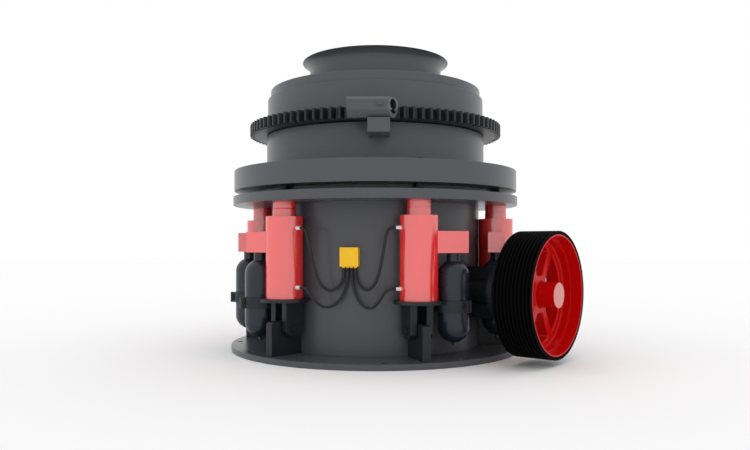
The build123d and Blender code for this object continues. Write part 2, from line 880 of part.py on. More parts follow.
# Grooved band of the pulley
shaft_axis = Axis((0, 0, shaft_height), (1, 0, 0))
pulley_section = Plane(origin=(pulley_inner_face, 0, shaft_height), x_dir=(1, 0, 0), z_dir=(0, -1, 0))
groove_pitch = (pulley_width - 2 * groove_land) / groove_count
with BuildPart() as pulley_rim:
    with BuildSketch(pulley_section):
        with Locations((pulley_width / 2, pulley_radius - pulley_band / 2)):
            Rectangle(pulley_width, pulley_band)
        for n in range(groove_count):
            start = groove_land + groove_pitch * n
            with BuildLine():
                Polyline(
                    (start + groove_land / 2, pulley_radius),
                    (start + (groove_pitch - groove_land) / 2, pulley_radius - groove_depth),
                    (start + (groove_pitch + groove_land) / 2, pulley_radius - groove_depth),
                    (start + groove_pitch - groove_land / 2, pulley_radius),
                    close=True,
                )
            make_face(mode=Mode.SUBTRACT)
    revolve(axis=shaft_axis)
finish(pulley_rim, "pulley_rim")

# One window between two spokes, with its corners rounded
half_spoke = spoke_width / 2
half_window = pi / spoke_count
inner_turn = half_window - half_spoke / window_inner_radius
outer_turn = half_window - half_spoke / window_outer_radius
window_corner_out = (window_outer_radius * cos(outer_turn), window_outer_radius * sin(outer_turn))
window_corner_in = (window_inner_radius * cos(inner_turn), window_inner_radius * sin(inner_turn))
with BuildSketch() as window:
    with BuildLine():
        Polyline(
            window_corner_out,
            window_corner_in,
            (window_corner_in[0], -window_corner_in[1]),
            (window_corner_out[0], -window_corner_out[1]),
        )
        ThreePointArc(
            window_corner_out, (window_outer_radius, 0), (window_corner_out[0], -window_corner_out[1])
        )
    make_face()
    fillet(window.vertices(), window_corner)


def web_corners():
    """Circles where the web meets the rim and the hub, on both of its sides."""
    found = []
    for edge in pulley_wheel.edges().filter_by(GeomType.CIRCLE):
        on_web = min(abs(edge.center().X - web_outer), abs(edge.center().X - web_outer + web_thickness)) < 1
        if on_web:
            found.append(edge)
    return found


def window_edges():
    """Outlines of the windows on the web's outer side."""
    on_web = pulley_wheel.edges().filter_by_position(Axis.X, web_outer - 1, web_outer + 1)
    return [edge for edge in on_web if not edge.is_closed]


# Pulley wheel: inner rim with a ledge, web with six windows, and hub
web_outer = pulley_face - web_recess
web_place = pulley_width - web_recess
with BuildPart() as pulley_wheel:
    with BuildSketch(pulley_section):
        with Locations((pulley_width / 2, pulley_rim_inner + pulley_rim_wall / 2)):
            Rectangle(pulley_width, pulley_rim_wall)
        with Locations((web_place - web_thickness / 2, (pulley_rim_inner + pulley_hub_radius) / 2)):
            Rectangle(web_thickness, pulley_rim_inner - pulley_hub_radius)
        with Locations((pulley_width - (web_recess + ledge_recess) / 2, pulley_rim_inner - ledge_width / 2)):
            Rectangle(web_recess - ledge_recess, ledge_width)
        with Locations((pulley_width / 2, pulley_hub_radius / 2)):
            Rectangle(pulley_width, pulley_hub_radius)
    revolve(axis=shaft_axis)
    fillet(web_corners(), web_fillet)
    with BuildSketch(Plane(origin=(web_outer, 0, shaft_height), x_dir=(0, 1, 0), z_dir=(1, 0, 0))):
        with PolarLocations(0, spoke_count, start_angle=90):
            add(window.sketch)
    extrude(amount=-web_thickness, mode=Mode.SUBTRACT)
    chamfer(window_edges(), window_chamfer)
    with BuildSketch(Plane.YZ.offset(pulley_inner_face)):
        with Locations((0, shaft_height)):
            Circle(countershaft_radius)
    extrude(amount=pulley_width - hub_face_wall, mode=Mode.SUBTRACT)
finish(pulley_wheel, "pulley_wheel")

# Adjuster: a bracket out from the ring, under the gear, and a cross housing beyond its teeth
adjuster_outer_radius = adjuster_inner_radius + adjuster_depth
bracket_outer_radius = adjuster_outer_radius - adjuster_arm_inset
with BuildPart() as adjuster_bracket:
    with BuildSketch(station(adjuster_turn, 0, adjuster_bottom - adjuster_arm_height)):
        with Locations((bracket_outer_radius / 2, adjuster_arm_offset)):
            Rectangle(bracket_outer_radius, adjuster_arm_width)
    extrude(amount=adjuster_arm_height)
    with BuildSketch(Plane.XY.offset(adjuster_bottom - adjuster_arm_height)):
        Circle(ring_neck_radius)
    extrude(amount=adjuster_arm_height, mode=Mode.SUBTRACT)
finish(adjuster_bracket, "adjuster_bracket")

adjuster_middle = (adjuster_inner_radius + adjuster_outer_radius) / 2
adjuster_level = adjuster_bottom + adjuster_height / 2
adjuster_cut = adjuster_depth * tan(radians(adjuster_mitre))
with BuildPart() as adjuster_housing:
    with BuildSketch(upright(adjuster_turn)) as adjuster_section:
        with Locations((adjuster_middle, adjuster_level)):
            Rectangle(adjuster_depth, adjuster_height)
        chamfer(adjuster_section.vertices().group_by(Axis.Y)[0], adjuster_lower_chamfer)
        chamfer(adjuster_section.vertices().group_by(Axis.Y)[-1], adjuster_upper_chamfer)
        with Locations((adjuster_middle, adjuster_level + adjuster_bore_rise)):
            Circle(adjuster_bore_radius, mode=Mode.SUBTRACT)
        with Locations((adjuster_middle, adjuster_level - adjuster_slot_drop)):
            Polygon(
                (-adjuster_slot_width / 2, 0),
                (0, -adjuster_slot_height / 2),
                (adjuster_slot_width / 2, 0),
                (0, adjuster_slot_height / 2),
                align=None,
                mode=Mode.SUBTRACT,
            )
    extrude(amount=adjuster_length / 2, both=True)
    with BuildSketch(station(adjuster_turn, 0, adjuster_bottom)):
        Polygon(
            (adjuster_inner_radius, adjuster_length / 2),
            (adjuster_outer_radius, adjuster_length / 2 - adjuster_cut),
            (adjuster_outer_radius, adjuster_length / 2),
            align=None,
        )
    extrude(amount=adjuster_height, mode=Mode.SUBTRACT)
finish(adjuster_housing, "adjuster_housing")
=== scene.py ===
import json
import math

import bmesh
import bpy
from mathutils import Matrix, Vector

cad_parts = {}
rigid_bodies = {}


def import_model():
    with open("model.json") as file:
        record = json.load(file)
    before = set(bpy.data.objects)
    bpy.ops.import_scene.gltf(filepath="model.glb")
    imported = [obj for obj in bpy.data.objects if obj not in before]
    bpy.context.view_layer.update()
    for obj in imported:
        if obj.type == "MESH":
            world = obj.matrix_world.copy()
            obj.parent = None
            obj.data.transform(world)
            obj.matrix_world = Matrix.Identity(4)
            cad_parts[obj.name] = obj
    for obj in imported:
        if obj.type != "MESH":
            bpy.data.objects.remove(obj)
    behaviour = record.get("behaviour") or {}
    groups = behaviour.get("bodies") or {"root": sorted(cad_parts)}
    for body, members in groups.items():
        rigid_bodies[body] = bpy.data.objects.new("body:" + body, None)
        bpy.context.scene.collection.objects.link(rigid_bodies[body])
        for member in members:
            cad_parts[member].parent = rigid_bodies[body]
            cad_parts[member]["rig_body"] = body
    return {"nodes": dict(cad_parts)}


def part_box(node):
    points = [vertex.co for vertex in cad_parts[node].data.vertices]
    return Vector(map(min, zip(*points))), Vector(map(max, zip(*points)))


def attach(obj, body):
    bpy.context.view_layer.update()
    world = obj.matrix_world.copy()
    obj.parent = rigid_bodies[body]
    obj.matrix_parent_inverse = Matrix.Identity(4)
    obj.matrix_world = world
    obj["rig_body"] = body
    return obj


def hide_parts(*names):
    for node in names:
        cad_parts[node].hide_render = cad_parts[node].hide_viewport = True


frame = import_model()

bl_info = {
    "name": "Cone crusher",
    "version": (1, 0, 0),
    "blender": (4, 5, 0),
    "location": "View3D > Sidebar > Crusher",
    "description": "Finishes a cone crusher with paint, castings, hoses, bolts and a studio stage",
    "category": "Object",
}

# Bodies that the bolts and hoses ride on
MAIN = "main_frame"
RING = "held_down_ring"

# Places that the solids share, in metres, and directions from the machine's axis
STATIONS = range(1, 7)
CYLINDER_TURN = math.radians(26)
CYLINDER_STEP = math.radians(60)
CYLINDER_CIRCLE = 0.963
CYLINDER_RADIUS = 0.132
BOTTLE_OUT = 0.020
BOTTLE_SIDE = 0.247
CLAMP_TURN = math.radians(70)
CLAMP_LOW = 0.362
CLAMP_HIGH = 0.441
TAB_REACH = 0.150
TAB_PAIR_HALF = 0.022
BOX_TURN = math.radians(-64)
FITTING_LENGTH = 0.036
FITTING_HEIGHTS = {"lower": 0.522, "upper": 0.937}
ADJUSTER_TURN = math.radians(-53)
ADJUSTER_FRONT = 1.126
ADJUSTER_MIDDLE = 1.067
ADJUSTER_BORE = 0.034
ADJUSTER_BORE_RISE = 0.022
ADJUSTER_SLOT_DROP = 0.026
ADJUSTER_SLOT_WIDTH = 0.064
ADJUSTER_SLOT_HEIGHT = 0.034
SHAFT_HEIGHT = 0.479
HUB_RADIUS = 0.088
HUB_END = 1.571
BAND_RADIUS = 0.436
GROOVE_DEPTH = 0.011

# Places and lengths of the bolt heads, in metres, and how many sides heads and washers have
TAB_BOLT_INSET = 0.0125
TAB_BOLT_LENGTH = 0.009
ADJUSTER_BOLT_SIDE = 0.050
ADJUSTER_BOLT_HEIGHT = 1.744
ADJUSTER_BOLT_LENGTH = 0.014
HEAD_SIDES = 6
WASHER_SIDES = 24

# Washers under bolt heads, as shares of the head's radius and length
WASHER_RADIUS = 1.22
WASHER_LENGTH = 0.24

# How the copy of a solid is cleaned, and how its edges are found and softened
WELD_GAP = 0.00002
FLAT_ANGLE = math.radians(0.3)
SHARP_ANGLE = math.radians(34)
EDGE_SEGMENTS = 2
FACE_WEIGHT = 50

# Sockets of a Mix node that mixes colours, by number
MIX_FACTOR = 0
MIX_LOW = 6
MIX_HIGH = 7
MIX_COLOUR = 2

# Sprayed paint: how far its colour strays, as a share, and its roughness, and how rough the grey is
PAINT_CLOUD = 0.06
FAINT_CLOUD = 0.03
PAINT_SPREAD = 0.05
GREY_ROUGHNESS = 0.3

# Painted shade in the adjuster's bore and slot: its roughness, and how far it fades outside the bore, in
# metres, and outside the slot, as a share
PAINTED_SHADE_ROUGHNESS = 0.9
BORE_FADE = 0.001
SLOT_FADE = 0.05

# Clear coat on the hub's end: how far inside the edge it fades, and over what widths, in metres
COAT_INSET = 0.004
COAT_RIM_FADE = 0.002
COAT_FACE_FADE = 0.001

# Painted shade of the belt band down in its grooves and painted highlight on its lands, as shares of its
# colour, and the pits' share of a casting's relief
GROOVE_PAINTED_SHADE = 0.2
LAND_PAINTED_HIGHLIGHT = 2.5
PIT_SHARE = 0.6

# Hoses: the straight run at a fitting in metres, the curve's order, and its divisions round and along
HOSE_END_RUN = 0.028
HOSE_ORDER = 3
HOSE_ROUNDNESS = 6
HOSE_STEPS = 12

# Stage: the floor's radius in metres, its sides and tone, and the camera's sensor and shift
FLOOR_RADIUS = 40
FLOOR_SIDES = 64
FLOOR_TONE = 0.99
SENSOR_WIDTH = 36
SHIFT_X = -0.0004
SHIFT_Y = 0.026

# Hose lengths, and routes given outward from the axis, sideways along the pair of cylinders, and up
HOSE_ROUTES = {
    "hose_upper_left": (0.732, [
        (0.854, -0.042, 0.660), (0.854, -0.042, 0.612), (0.862, -0.057, 0.556),
        (0.876, -0.090, 0.512), (0.894, -0.135, 0.500), (0.908, -0.178, 0.528),
        (0.920, -0.212, 0.588), (0.934, -0.240, 0.690), (0.947, -0.262, 0.805),
        (0.953, -0.277, 0.888), (0.944, -0.291, 0.922),
    ]),
    "hose_lower_left": (0.597, [
        (0.854, -0.014, 0.660), (0.854, -0.014, 0.600), (0.858, -0.026, 0.520),
        (0.872, -0.056, 0.446), (0.890, -0.106, 0.398), (0.910, -0.160, 0.386),
        (0.930, -0.205, 0.412), (0.948, -0.240, 0.458), (0.956, -0.266, 0.498),
        (0.944, -0.291, 0.519),
    ]),
    "hose_lower_right": (0.601, [
        (0.854, 0.014, 0.660), (0.854, 0.014, 0.596), (0.858, 0.030, 0.512),
        (0.872, 0.062, 0.440), (0.890, 0.112, 0.392), (0.910, 0.166, 0.384),
        (0.930, 0.208, 0.414), (0.948, 0.242, 0.460), (0.956, 0.267, 0.500),
        (0.944, 0.291, 0.519),
    ]),
    "hose_upper_right": (0.717, [
        (0.854, 0.042, 0.660), (0.854, 0.042, 0.616), (0.862, 0.058, 0.562),
        (0.876, 0.092, 0.520), (0.894, 0.138, 0.508), (0.908, 0.180, 0.536),
        (0.920, 0.213, 0.594), (0.934, 0.240, 0.694), (0.947, 0.262, 0.806),
        (0.953, 0.277, 0.888), (0.944, 0.291, 0.922),
    ]),
}


def tint(name, description, colour):
    """A colour that a user may change."""
    return bpy.props.FloatVectorProperty(
        name=name, description=description, subtype="COLOR", default=colour, min=0, max=1)


def gloss(name, description, ior):
    """A refraction index that a user may change."""
    return bpy.props.FloatProperty(name=name, description=description, default=ior, min=1, max=3)


def metres(name, description, default, least, most):
    """A length that a user may change."""
    return bpy.props.FloatProperty(
        name=name, description=description, default=default, min=least, max=most,
        subtype="DISTANCE", unit="LENGTH")


class CrusherFinishes(bpy.types.PropertyGroup):
    """Colours and gloss of the machine's paints and bare parts, and the colour of the painted shade in
    the adjuster's bore and slot.
    """

    grey: tint("Grey paint", "Paint of the castings", (0.071, 0.074, 0.084))
    grey_ior: gloss("Grey gloss", "Refraction index of the grey lacquer", 1.45)
    red: tint("Red paint", "Paint of the release cylinders", (0.86, 0.010, 0.010))
    red_ior: gloss("Red gloss", "Refraction index of the red lacquer", 2.5)
    wheel: tint("Wheel paint", "Paint of the pulley wheel", (0.56, 0.002, 0.002))
    bottle: tint("Bottle paint", "Paint of the gas bottles", (0.009, 0.0155, 0.026))
    dark: tint("Dark parts", "Feet, clamps, lugs and gear", (0.0108, 0.0130, 0.0178))
    band: tint("Belt band", "Grooved band of the pulley", (0.0015, 0.0015, 0.0015))
    # Painted shade: a near black colour put in the adjuster's bore and slot where they lie in shadow
    painted_bore_shade: tint("Grease", "Grease in the adjuster's bore and slot", (0.0005, 0.0005, 0.0005))
    yellow: tint("Junction box", "Paint of the junction box", (1.0, 0.57, 0.010))
    white: tint("Fittings", "White caps of the hose fittings", (0.82, 0.82, 0.82))
    rubber: tint("Hoses", "Rubber of the hoses", (0.024, 0.024, 0.024))
    steel: tint("Ground steel", "Shafts and eccentric", (0.55, 0.56, 0.58))
    iron: tint("Cast iron", "Crushing head", (0.20, 0.20, 0.21))
    wearing: tint("Wearing iron", "Mantle, liner and feed plate", (0.24, 0.23, 0.22))


class CrusherSizes(bpy.types.PropertyGroup):
    """Sizes of edges, hoses and bolts, and the camera's place."""

    edge: metres("Edge", "Radius of the castings' edges", 0.004, 0.0005, 0.02)
    fine_edge: metres("Fine edge", "Radius of machined edges", 0.0018, 0.0002, 0.01)
    wheel_edge: metres("Wheel edge", "Radius of the pulley wheel's edges", 0.003, 0.0002, 0.01)
    band_edge: metres("Band edge", "Radius of the belt band's edges", 0.0008, 0.0002, 0.005)
    hose: metres("Hose", "Outer diameter of the hoses", 0.020, 0.005, 0.05)
    clamp_bolt: metres("Clamp bolt", "Radius of the clamp bolts' heads", 0.0095, 0.004, 0.03)
    adjuster_bolt: metres("Adjuster bolt", "Radius of the adjuster's bolt head", 0.018, 0.004, 0.04)
    distance: metres("Camera distance", "From the machine's axis", 5.66, 2, 30)
    eye_height: metres("Eye height", "Height of the camera", 0.822, 0, 10)
    camera_turn: bpy.props.FloatProperty(
        name="Camera turn", description="Direction of the camera from the axis",
        default=math.radians(-52), subtype="ANGLE", unit="ROTATION")
    lens: bpy.props.FloatProperty(
        name="Lens", description="Focal length", default=33.44, min=10, max=200,
        subtype="DISTANCE_CAMERA")


class Field:
    """The number that a socket gives, so that maths with nodes reads as an expression."""

    def __init__(self, nodes, socket):
        self.nodes = nodes
        self.socket = socket

    def joined(self, operation, *terms):
        """The terms joined by one Math node."""
        made = self.nodes.add("ShaderNodeMath", {"operation": operation}, dict(enumerate(terms)))
        return Field(self.nodes, made.outputs[0])

    def __abs__(self):
        return self.joined("ABSOLUTE", self)

    def __add__(self, other):
        return self.joined("ADD", self, other)

    def __radd__(self, other):
        return self.joined("ADD", other, self)

    def __sub__(self, other):
        return self.joined("SUBTRACT", self, other)

    def __rsub__(self, other):
        return self.joined("SUBTRACT", other, self)

    def __mul__(self, other):
        return self.joined("MULTIPLY", self, other)

    def __rmul__(self, other):
        return self.joined("MULTIPLY", other, self)

    def __pow__(self, other):
        return self.joined("POWER", self, other)


class Nodes:
    """The nodes of one tree, which all come from one method."""

    def __init__(self, tree):
        self.tree = tree

    def add(self, kind, settings, values):
        """A node with its settings, and with plain values or links on its sockets."""
        made = self.tree.nodes.new(kind)
        for name, value in settings.items():
            setattr(made, name, value)
        for socket, value in values.items():
            if isinstance(value, Field):
                value = value.socket
            if isinstance(value, bpy.types.NodeSocket):
                self.tree.links.new(value, made.inputs[socket])
            else:
                made.inputs[socket].default_value = value
        return made


class Finish(Nodes):
    """One procedural material on a Principled shader, read from Object coordinates."""

    def __init__(self, name, **constants):
        self.material = bpy.data.materials.new(name)
        self.material.use_nodes = True
        super().__init__(self.material.node_tree)
        self.shader = self.tree.nodes["Principled BSDF"]
        self.place = self.add("ShaderNodeTexCoord", {}, {}).outputs["Object"]
        for socket, value in constants.items():
            self.shader.inputs[socket.replace("_", " ")].default_value = value

    def noise(self, scale, detail, stretch=(1, 1, 1)):
        """Noise of so many grains a metre, stretched along an axis where a value is under 1."""
        mapped = self.add("ShaderNodeMapping", {}, {"Vector": self.place, "Scale": stretch})
        values = {"Vector": mapped.outputs[0], "Scale": scale, "Detail": detail}
        return Field(self, self.add("ShaderNodeTexNoise", {}, values).outputs[0])

    def clouds(self):
        """The wide, faint unevenness of sprayed paint."""
        return self.noise(scale=4.0, detail=3.0)

    def coordinate(self, axis):
        """One of the Object coordinates, in metres."""
        parted = self.add("ShaderNodeSeparateXYZ", {}, {"Vector": self.place})
        return Field(self, parted.outputs[axis])

    def from_shaft(self):
        """Distance from the countershaft's axis, in metres."""
        return diagonal(self.coordinate("Y"), self.coordinate("Z") - SHAFT_HEIGHT)

    def mask(self, field, low, high):
        """The field made steeper: 0 under low, 1 over high."""
        values = {"Value": field, "From Min": low, "From Max": high}
        return Field(self, self.add("ShaderNodeMapRange", {"clamp": True}, values).outputs[0])

    def feed(self, socket, value):
        """Link a field, or a node's output, to one of the shader's sockets."""
        if isinstance(value, Field):
            value = value.socket
        self.tree.links.new(value, self.shader.inputs[socket])

    def colour(self, field, low, high):
        """Base colour that runs from low to high with the field."""
        values = {MIX_FACTOR: field, MIX_LOW: (*low, 1), MIX_HIGH: (*high, 1)}
        mixed = self.add("ShaderNodeMix", {"data_type": "RGBA"}, values)
        self.feed("Base Color", mixed.outputs[MIX_COLOUR])

    def roughen(self, field, middle, spread):
        """Roughness that runs with the field round its middle value."""
        self.feed("Roughness", middle + (field - 0.5) * spread)

    def mottle(self, field, colour, darkest, palest, roughness, spread):
        """Base colour that runs with the field between two shades of itself, and roughness with it."""
        self.colour(field, shade(colour, darkest), shade(colour, palest))
        self.roughen(field, roughness, spread)

    def relief(self, field, depth):
        """Bump of so many metres."""
        bump = self.add("ShaderNodeBump", {}, {"Height": field, "Strength": 1.0, "Distance": depth})
        self.feed("Normal", bump.outputs[0])

    def orange_peel(self):
        """The fine ripple of sprayed paint."""
        self.relief(self.noise(scale=260.0, detail=1.0), depth=0.00004)


def diagonal(across, up):
    """How far a spot lies from an axis, from its two distances at right angles."""
    return (across * across + up * up) ** 0.5


def shade(colour, factor):
    """The colour made darker or paler."""
    return tuple(min(1.0, channel * factor) for channel in colour)


def outward(turn):
    """One metre from the machine's axis in a direction."""
    return Vector((math.cos(turn), math.sin(turn), 0))


def sideways(turn):
    """One metre across that direction, anticlockwise seen from above."""
    return outward(turn + math.pi / 2)


def lacquer(name, colour, ior, roughness, cloud=PAINT_CLOUD):
    """Sprayed gloss paint: a faint cloud in its colour and gloss, and orange peel."""
    finish = Finish(name, IOR=ior)
    finish.mottle(finish.clouds(), colour, 1 - cloud, 1 + cloud, roughness, PAINT_SPREAD)
    finish.orange_peel()
    return finish.material


def bored_lacquer(name, colour, painted_bore_shade, ior, roughness):
    """Gloss paint on the adjuster's case, and painted shade, near black and rough, down in its bore and
    slot.
    """
    finish = Finish(name, IOR=ior)
    low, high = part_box("adjuster_housing")
    away = outward(ADJUSTER_TURN)
    out = finish.coordinate("X") * away.x + finish.coordinate("Y") * away.y - ADJUSTER_MIDDLE
    up = finish.coordinate("Z") - (low[2] + high[2]) / 2
    from_bore = diagonal(out, up - ADJUSTER_BORE_RISE)
    clear_of_bore = finish.mask(from_bore, ADJUSTER_BORE + BORE_FADE, ADJUSTER_BORE + 2 * BORE_FADE)
    # The diamond is 1 on the slot's outline and grows away from it
    across = abs(out) * (2 / ADJUSTER_SLOT_WIDTH)
    diamond = across + abs(up + ADJUSTER_SLOT_DROP) * (2 / ADJUSTER_SLOT_HEIGHT)
    clear_of_slot = finish.mask(diamond, 1 + SLOT_FADE, 1 + 2 * SLOT_FADE)
    painted = clear_of_bore * clear_of_slot
    palest = 1 + PAINT_CLOUD
    darkest = (1 - PAINT_CLOUD) / palest
    tone = darkest + finish.clouds() * (1 - darkest)
    # Painted shade: the bore and slot take the near black colour and the grey lacquer covers the rest
    finish.colour(painted * tone, painted_bore_shade, shade(colour, palest))
    finish.feed("Roughness", PAINTED_SHADE_ROUGHNESS - painted * (PAINTED_SHADE_ROUGHNESS - roughness))
    finish.orange_peel()
    return finish.material


def wheel_lacquer(name, colour, roughness):
    """Deep red wheel paint, with a clear coat on the end of the hub."""
    finish = Finish(name, IOR=1.25, Coat_IOR=2.5, Coat_Roughness=0.12)
    finish.mottle(finish.clouds(), colour, 1 - FAINT_CLOUD, 1 + FAINT_CLOUD, roughness, PAINT_SPREAD)
    rim = HUB_RADIUS - COAT_INSET
    face = HUB_END - COAT_INSET
    within_hub = 1 - finish.mask(finish.from_shaft(), rim, rim + COAT_RIM_FADE)
    on_face = finish.mask(finish.coordinate("X"), face, face + COAT_FACE_FADE)
    finish.feed("Coat Weight", within_hub * on_face)
    return finish.material


def satin(name, colour, ior, roughness, grain, depth):
    """Satin painted or blackened steel with a fine cast grain."""
    finish = Finish(name, IOR=ior)
    patches = finish.noise(scale=9.0, detail=4.0)
    finish.mottle(patches, colour, darkest=0.8, palest=1.2, roughness=roughness, spread=0.12)
    finish.relief(finish.noise(scale=grain, detail=3.0), depth)
    return finish.material


def grooved_black(name, colour):
    """Blackened belt band, with painted shade down in its grooves and a painted highlight on its lands.
    """
    finish = Finish(name, IOR=1.08)
    lands = finish.mask(finish.from_shaft(), BAND_RADIUS - GROOVE_DEPTH, BAND_RADIUS)
    # Painted shade and highlight: darker down in the grooves, paler on the lands
    finish.colour(lands, shade(colour, GROOVE_PAINTED_SHADE), shade(colour, LAND_PAINTED_HIGHLIGHT))
    finish.roughen(finish.noise(scale=60.0, detail=2.0), middle=0.6, spread=0.1)
    finish.relief(finish.noise(scale=200.0, detail=3.0), depth=0.0001)
    return finish.material


def casting(name, colour, roughness):
    """Bare wearing iron: mottled, pitted and rough."""
    finish = Finish(name, IOR=1.6, Metallic=0.35)
    patches = finish.noise(scale=14.0, detail=6.0)
    finish.mottle(patches, colour, darkest=0.55, palest=1.35, roughness=roughness, spread=0.3)
    pits = finish.mask(finish.noise(scale=70.0, detail=3.0), low=0.55, high=0.72)
    finish.relief(finish.noise(scale=35.0, detail=5.0) - pits * PIT_SHARE, depth=0.0016)
    return finish.material


def ground_steel(name, colour):
    """Ground steel with fine marks along the countershaft's direction."""
    finish = Finish(name, Metallic=1.0)
    marks = finish.noise(scale=180.0, detail=2.0, stretch=(0.02, 1, 1))
    finish.mottle(marks, colour, darkest=0.85, palest=1.1, roughness=0.28, spread=0.15)
    finish.relief(marks, depth=0.00008)
    return finish.material


def hose_rubber(name, colour):
    """Smooth hose rubber with a faint grain."""
    finish = Finish(name, IOR=1.32)
    patches = finish.noise(scale=22.0, detail=2.0)
    finish.mottle(patches, colour, darkest=0.85, palest=1.15, roughness=0.55, spread=0.1)
    finish.relief(finish.noise(scale=900.0, detail=1.0), depth=0.00008)
    return finish.material


# Materials made so far, by slot or coat
FINISHES = {}


def finish_of(slot):
    """The material of one of the record's slots, or of a coat over one, made once."""
    if slot in FINISHES:
        return FINISHES[slot]
    tints = bpy.context.scene.crusher_finishes
    makers = {
        "grey_paint": lambda: lacquer(
            "grey_lacquer", tints.grey, tints.grey_ior, GREY_ROUGHNESS),
        "adjuster_paint": lambda: bored_lacquer(
            "adjuster_lacquer", tints.grey, tints.painted_bore_shade, tints.grey_ior, GREY_ROUGHNESS),
        "red_paint": lambda: lacquer(
            "red_lacquer", tints.red, tints.red_ior, roughness=0.21, cloud=FAINT_CLOUD),
        "wheel_paint": lambda: wheel_lacquer("wheel_lacquer", tints.wheel, roughness=0.24),
        "bottle_paint": lambda: lacquer("bottle_lacquer", tints.bottle, ior=1.47, roughness=0.27),
        "dark_steel": lambda: satin(
            "blackened_steel", tints.dark, ior=1.4, roughness=0.38, grain=120.0, depth=0.00015),
        "bright_steel": lambda: ground_steel("ground_steel", tints.steel),
        "cast_steel": lambda: casting("head_casting", tints.iron, roughness=0.55),
        "manganese_steel": lambda: casting("wearing_iron", tints.wearing, roughness=0.5),
        "black_iron": lambda: grooved_black("belt_band_black", tints.band),
        "white_fitting": lambda: satin(
            "white_caps", tints.white, ior=1.5, roughness=0.35, grain=300.0, depth=0.00003),
        "yellow_box": lambda: lacquer(
            "yellow_lacquer", tints.yellow, ior=1.4, roughness=0.32, cloud=FAINT_CLOUD),
        "hose_rubber": lambda: hose_rubber("hose_rubber", tints.rubber),
    }
    FINISHES[slot] = makers[slot]()
    return FINISHES[slot]


def placed(name, data):
    """A new object of a mesh, curve or camera, in the scene."""
    made = bpy.data.objects.new(name, data)
    bpy.context.scene.collection.objects.link(made)
    return made


def settle(mesh, name, body, slot, *nodes, coat=None):
    """Make a finished piece of a mesh: its finish, its body and the solids it stands for."""
    piece = placed(name, mesh)
    mesh.materials.clear()
    mesh.materials.append(finish_of(coat or slot))
    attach(piece, body)
    if nodes:
        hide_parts(*nodes)


def applied(raw):
    """A plain mesh of what the raw object's modifiers make, in place of that object."""
    bpy.context.view_layer.update()
    graph = bpy.context.evaluated_depsgraph_get()
    mesh = bpy.data.meshes.new_from_object(raw.evaluated_get(graph))
    mesh.name = raw.name
    bpy.data.objects.remove(raw)
    return mesh


def dress(node, slot, name, edge, coat=None):
    """A smooth copy of a solid with softened edges, which stands for the solid."""
    source = frame["nodes"][node]
    shape = bmesh.new()
    shape.from_mesh(source.data)
    bmesh.ops.remove_doubles(shape, verts=shape.verts, dist=WELD_GAP)
    bmesh.ops.dissolve_limit(
        shape, angle_limit=FLAT_ANGLE, verts=shape.verts, edges=shape.edges, delimit={"NORMAL"})
    mesh = bpy.data.meshes.new(name)
    shape.to_mesh(mesh)
    shape.free()
    mesh.shade_smooth()
    raw = placed(name + "_raw", mesh)
    soften = raw.modifiers.new("edges", "BEVEL")
    soften.width = edge
    soften.segments = EDGE_SEGMENTS
    soften.limit_method = "ANGLE"
    soften.angle_limit = SHARP_ANGLE
    level = raw.modifiers.new("level", "WEIGHTED_NORMAL")
    level.mode = "FACE_AREA"
    level.weight = FACE_WEIGHT
    settle(applied(raw), name, source["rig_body"], slot, node, coat=coat)


def finish_node(node, slot):
    """Give a solid that stays its own material."""
    solid = frame["nodes"][node]
    solid.data.materials.clear()
    solid.data.materials.append(finish_of(slot))


def bolt_tree():
    """Hex bolts with washers: one instance on every point, turned to the point's facing."""
    tree = bpy.data.node_groups.new("hex_bolts", "GeometryNodeTree")
    tree.interface.new_socket("Geometry", in_out="OUTPUT", socket_type="NodeSocketGeometry")
    inputs = {
        "Places": "NodeSocketGeometry", "Head radius": "NodeSocketFloat",
        "Head length": "NodeSocketFloat", "Material": "NodeSocketMaterial",
    }
    for label, kind in inputs.items():
        tree.interface.new_socket(label, in_out="INPUT", socket_type=kind)
    nodes = Nodes(tree)
    start = nodes.add("NodeGroupInput", {}, {})
    radius = Field(nodes, start.outputs["Head radius"])
    length = Field(nodes, start.outputs["Head length"])
    # The washer's middle lies on the face, and the head stands on the washer
    head = nodes.add("GeometryNodeMeshCylinder", {}, {
        "Vertices": HEAD_SIDES, "Radius": radius, "Depth": length})
    lift = nodes.add("ShaderNodeCombineXYZ", {}, {"Z": length * (0.5 + WASHER_LENGTH / 2)})
    raised = nodes.add("GeometryNodeTransform", {}, {
        "Geometry": head.outputs["Mesh"], "Translation": lift.outputs[0]})
    washer = nodes.add("GeometryNodeMeshCylinder", {}, {
        "Vertices": WASHER_SIDES, "Radius": radius * WASHER_RADIUS, "Depth": length * WASHER_LENGTH})
    bolt = nodes.add("GeometryNodeJoinGeometry", {}, {})
    for shape in (raised.outputs[0], washer.outputs["Mesh"]):
        tree.links.new(shape, bolt.inputs[0])
    facing = nodes.add(
        "GeometryNodeInputNamedAttribute", {"data_type": "FLOAT_VECTOR"}, {"Name": "facing"})
    turned = nodes.add(
        "FunctionNodeAlignRotationToVector", {"axis": "Z"}, {"Vector": facing.outputs[0]})
    instances = nodes.add("GeometryNodeInstanceOnPoints", {}, {
        "Points": start.outputs["Places"], "Instance": bolt.outputs[0], "Rotation": turned.outputs[0]})
    real = nodes.add("GeometryNodeRealizeInstances", {}, {"Geometry": instances.outputs[0]})
    coated = nodes.add("GeometryNodeSetMaterial", {}, {
        "Geometry": real.outputs[0], "Material": start.outputs["Material"]})
    nodes.add("NodeGroupOutput", {}, {0: coated.outputs[0]})
    return tree


